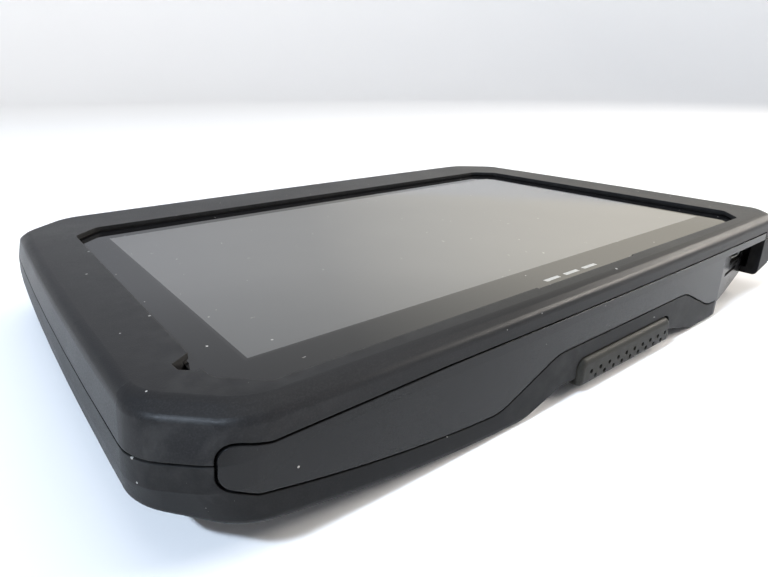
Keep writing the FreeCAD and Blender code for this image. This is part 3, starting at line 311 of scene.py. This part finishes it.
def brushed_metal(name, tone, rough, stretching=(0.2, 6.0, 6.0)):
    """Metal with fine lines, drawn out along the axis that is stretched least."""
    s = Shader(name)
    stretch = s.tree.nodes.new("ShaderNodeVectorMath")
    stretch.operation = "MULTIPLY"
    s.feed(stretch.inputs[0], s.mm)
    stretch.inputs[1].default_value = stretching
    lines = s.noise(2.0, 3, vector=stretch.outputs[0])
    colour = s.mix(lines, [0.8 * c for c in tone], tone)
    roughness = s.ramp(lines, 0.3, 0.7, rough - 0.06, rough + 0.08)
    return s.set(Base_Color=colour, Metallic=1.0, Roughness=roughness, Normal=s.bump(lines, 0.004))


def circuit_board(name):
    """Green solder mask with a faint weave."""
    s = Shader(name)
    fleck = s.noise(1.5, 3)
    tone = s.mix(s.ramp(fleck, 0.4, 0.6), (0.008, 0.06, 0.03), (0.014, 0.085, 0.045))
    return s.set(Base_Color=tone, Roughness=0.35, Normal=s.bump(fleck, 0.01))


def plain_detail(name, dark, light, rough, metallic=0.0):
    """Small inner pieces: two close tones in fine noise with a soft bump."""
    s = Shader(name)
    fleck = s.noise(1.5, 3)
    tone = s.mix(s.ramp(fleck, 0.35, 0.65), dark, light)
    roughness = s.ramp(fleck, 0.3, 0.7, rough - 0.05, rough + 0.05)
    return s.set(Base_Color=tone, Metallic=metallic, Roughness=roughness, Normal=s.bump(fleck, 0.01))


FRAME_TONES = ((0.0128, 0.0127, 0.0132), (0.0178, 0.0176, 0.0182))
# Rear case tones: dark grained plastic, set darker than the frame's as painted shade on the lower walls
# that lie in shadow.
CASE_TONES_WITH_PAINTED_SHADE = ((0.0085, 0.0086, 0.009), (0.0115, 0.0116, 0.012))
FRAME = moulded_plastic("frame_grain", *FRAME_TONES, 0.4, gloss=0.14)
CASE = moulded_plastic("case_grain_and_painted_shade", *CASE_TONES_WITH_PAINTED_SHADE, 0.44, gloss=0.1)
TRIM = satin_plastic("trim_satin", (0.008, 0.008, 0.0084), (0.011, 0.011, 0.0114), 0.24)
GRILLE = moulded_plastic("grille_grain", (0.016, 0.0155, 0.013), (0.023, 0.022, 0.018), 0.5, dust=0.0)
GLASS = screen_glass("screen_glass")
FOAM = foam("seal_foam")
STEEL = brushed_metal("plated_steel", (0.62, 0.61, 0.59), 0.3)
ALLOY = plain_detail("cast_alloy", (0.42, 0.42, 0.43), (0.5, 0.5, 0.51), 0.45, metallic=1.0)
BRASS = brushed_metal("turned_brass", (0.7, 0.5, 0.22), 0.28, (6.0, 6.0, 0.4))
SCREW = plain_detail("black_screw", (0.05, 0.05, 0.052), (0.09, 0.09, 0.095), 0.35, metallic=1.0)
BOARD = circuit_board("board_green")
NYLON = plain_detail("black_nylon", (0.012, 0.012, 0.012), (0.02, 0.02, 0.02), 0.5)
BUTTON = satin_plastic("key_satin", (0.018, 0.018, 0.02), (0.025, 0.025, 0.027), 0.34)

LOOKS = {
    "front_frame": FRAME,
    "rear_case": CASE,
    "lower_trim": TRIM,
    "speaker_grille": GRILLE,
    "cover_glass": GLASS,
    "touch_sensor": plain_detail("sensor_film", (0.3, 0.3, 0.3), (0.36, 0.36, 0.35), 0.1),
    "display_cell": plain_detail("panel_glass", (0.08, 0.08, 0.08), (0.1, 0.1, 0.1), 0.15),
    "backlight": plain_detail("diffuser", (0.75, 0.75, 0.74), (0.82, 0.82, 0.81), 0.6),
    "chassis_plate": ALLOY,
    "display_ribbon": plain_detail("ribbon_film", (0.4, 0.2, 0.04), (0.5, 0.27, 0.06), 0.3),
    "battery_pack": plain_detail("cell_wrap", (0.06, 0.065, 0.08), (0.08, 0.085, 0.1), 0.3),
    "satellite_antenna": plain_detail("fired_ceramic", (0.55, 0.47, 0.36), (0.62, 0.54, 0.42), 0.55),
    "speaker_cone": plain_detail("treated_paper", (0.02, 0.02, 0.02), (0.035, 0.035, 0.035), 0.8),
    "power_button": BUTTON,
    "mount_inserts": BRASS,
}
SHARED_LOOKS = (
    (FOAM, ("glass_seal", "case_seal", "speaker_foam", "battery_pad")),
    (STEEL, ("display_tray", "shield_cans", "usb_shell", "card_socket", "microphone")),
    (BOARD, ("main_board", "port_board", "antenna_board", "switch_board")),
    (NYLON, ("ribbon_connector", "usb_tongue", "switch_body", "switch_plunger", "speaker_basket")),
    (SCREW, ("case_screws", "chassis_screws", "board_screws")),
)
for look, nodes in SHARED_LOOKS:
    LOOKS.update(dict.fromkeys(nodes, look))
for node, look in LOOKS.items():
    slots = NODES[node].data.materials
    if not slots:
        slots.append(look)
    for index in range(len(slots)):
        slots[index] = look


# ---------------------------------------------------------------- stage, light, camera

FLOOR_RINGS = (0.6, 1.6)
SWEEP_RADIUS = 0.42
SWEEP_STEPS = 12
SWEEP_SIDES = 96
GLOW_START = 300.0
GLOW_END = 1300.0
GLOW_STRENGTH = 0.22
BRIGHT_HEADING = 75.0
ROOM_LIGHT = (
    (0.0, (0.13, 0.13, 0.14)), (0.5, (0.28, 0.29, 0.32)), (0.7, (0.42, 0.435, 0.47)),
    (0.84, (0.53, 0.53, 0.525)), (0.91, (0.82, 0.8, 0.74)), (1.0, (1.15, 1.08, 0.93)),
)
SKY_BY_HEIGHT = ((0.0, 0.45), (0.22, 0.48), (0.32, 0.72), (0.5, 0.7), (0.65, 0.5), (0.85, 0.3))
SKY_STRENGTH = 2.2
# Each lamp: name, place, target, size, watts, colour.
LAMPS = (
    ("overhead", (0.25, 0.1, 1.5), (0, 0, 0), (1.4, 1.4), 9.0, (1.0, 0.99, 0.97)),
    ("right_panel", (0.8, -0.4, 0.5), (0, -0.05, 0), (0.55, 0.06), 9.0, (1.0, 0.93, 0.85)),
    ("left_strip", (-0.72, -0.14, 0.78), (-0.09, -0.06, 0.02), (0.14, 0.04), 10.0, (0.7, 0.83, 1.0)),
)
CAMERA_AT = (-0.10846, -0.12688, 0.06523)
CAMERA_HEADING = 37.672
CAMERA_PITCH = 20.939
CAMERA_ROLL = -0.2466
CAMERA_LENS = 25.985
CAMERA_SENSOR = 36.0
CAMERA_NEAR = 0.005
FLOOR_DARK = (0.93, 0.93, 0.93)
FLOOR_LIGHT = (0.95, 0.95, 0.95)


def floor_material():
    """Pale matt sweep that brightens to plain white away from the part."""
    s = Shader("stage_floor")
    cloud = s.noise(0.004, 2)
    s.set(Base_Color=s.mix(cloud, FLOOR_DARK, FLOOR_LIGHT), Roughness=0.95, Specular_IOR_Level=0.1)
    length = s.tree.nodes.new("ShaderNodeVectorMath")
    length.operation = "LENGTH"
    s.feed(length.inputs[0], s.mm)
    glow = s.ramp(length.outputs["Value"], GLOW_START, GLOW_END)
    s.feed(s.surface.inputs["Emission Color"], (1.0, 1.0, 1.0))
    s.feed(s.surface.inputs["Emission Strength"], s.math("MULTIPLY", glow, GLOW_STRENGTH))
    return s.material


def build_stage():
    """Round floor that sweeps up into a low backdrop, so that no horizon shows."""
    work = bmesh.new()
    profile = [(radius, 0.0) for radius in FLOOR_RINGS]
    for step in range(1, SWEEP_STEPS + 1):
        turn = math.radians(90) * step / SWEEP_STEPS
        outwards = SWEEP_RADIUS * math.sin(turn)
        upwards = SWEEP_RADIUS * (1 - math.cos(turn))
        profile.append((FLOOR_RINGS[-1] + outwards, upwards))
    rings = []
    for radius, height in profile:
        ring = []
        for index in range(SWEEP_SIDES):
            turn = 2 * math.pi * index / SWEEP_SIDES
            ring.append(work.verts.new((radius * math.cos(turn), radius * math.sin(turn), height)))
        rings.append(ring)
    work.faces.new(rings[0])
    for inner, outer in zip(rings, rings[1:]):
        for index in range(SWEEP_SIDES):
            after = (index + 1) % SWEEP_SIDES
            work.faces.new((inner[index], outer[index], outer[after], inner[after]))
    for face in work.faces:
        face.smooth = True
    mesh = bpy.data.meshes.new("stage_floor")
    work.to_mesh(mesh)
    work.free()
    floor = bpy.data.objects.new("stage_floor", mesh)
    mesh.materials.append(floor_material())
    bpy.context.scene.collection.objects.link(floor)


def colour_ramp(tree, value, steps):
    """Colours between given places of a value."""
    node = tree.nodes.new("ShaderNodeValToRGB")
    tree.links.new(value, node.inputs["Fac"])
    stops = node.color_ramp.elements
    stops[0].position, stops[1].position = steps[0][0], steps[-1][0]
    for position, _ in steps[1:-1]:
        stops.new(position)
    for stop, (position, colour) in zip(stops, steps):
        stop.position = position
        stop.color = (*colour, 1.0)
    return node.outputs["Color"]


def build_world():
    """Soft room light: dim behind the viewer, bright and warm at the far right, dimmer overhead."""
    world = bpy.data.worlds.new("studio")
    bpy.context.scene.world = world
    world.use_nodes = True
    tree = world.node_tree
    coords = tree.nodes.new("ShaderNodeTexCoord")
    towards = tree.nodes.new("ShaderNodeVectorMath")
    towards.operation = "DOT_PRODUCT"
    heading = math.radians(BRIGHT_HEADING)
    towards.inputs[1].default_value = (math.sin(heading), math.cos(heading), 0.0)
    tree.links.new(coords.outputs["Generated"], towards.inputs[0])
    place = tree.nodes.new("ShaderNodeMapRange")
    place.inputs["From Min"].default_value = -1.0
    tree.links.new(towards.outputs["Value"], place.inputs["Value"])
    colours = colour_ramp(tree, place.outputs["Result"], ROOM_LIGHT)
    split = tree.nodes.new("ShaderNodeSeparateXYZ")
    tree.links.new(coords.outputs["Generated"], split.inputs[0])
    height = colour_ramp(tree, split.outputs["Z"], [(z, (value,) * 3) for z, value in SKY_BY_HEIGHT])
    strength = tree.nodes.new("ShaderNodeMath")
    strength.operation = "MULTIPLY"
    strength.inputs[1].default_value = SKY_STRENGTH
    tree.links.new(height, strength.inputs[0])
    background = tree.nodes["Background"]
    tree.links.new(colours, background.inputs["Color"])
    tree.links.new(strength.outputs["Value"], background.inputs["Strength"])


def area_light(name, position, target, size, power, colour):
    """Rectangular lamp that points at a target."""
    data = bpy.data.lights.new(name, "AREA")
    data.shape = "RECTANGLE"
    data.size, data.size_y = size
    data.energy = power
    data.color = colour
    light = bpy.data.objects.new(name, data)
    bpy.context.scene.collection.objects.link(light)
    light.location = position
    aim = Vector(target) - Vector(position)
    light.rotation_mode = "QUATERNION"
    light.rotation_quaternion = aim.to_track_quat("-Z", "Y")


def build_camera():
    """Camera near the lower left corner, looking down across the screen."""
    heading = math.radians(CAMERA_HEADING)
    pitch = math.radians(CAMERA_PITCH)
    roll = math.radians(CAMERA_ROLL)
    level = Vector((math.sin(heading), math.cos(heading), 0)) * math.cos(pitch)
    ahead = level - Vector((0, 0, math.sin(pitch)))
    right = Vector((math.cos(heading), -math.sin(heading), 0))
    up = right.cross(ahead)
    right_rolled = right * math.cos(roll) + up * math.sin(roll)
    up_rolled = up * math.cos(roll) - right * math.sin(roll)
    data = bpy.data.cameras.new("camera")
    data.sensor_width = CAMERA_SENSOR
    data.lens = CAMERA_LENS
    data.clip_start = CAMERA_NEAR
    camera = bpy.data.objects.new("camera", data)
    bpy.context.scene.collection.objects.link(camera)
    turn = Matrix((right_rolled, up_rolled, -ahead)).transposed().to_4x4()
    camera.matrix_world = Matrix.Translation(CAMERA_AT) @ turn
    bpy.context.scene.camera = camera


build_stage()
build_world()
for lamp in LAMPS:
    area_light(*lamp)
build_camera()
bpy.context.scene.view_settings.view_transform = "Standard"
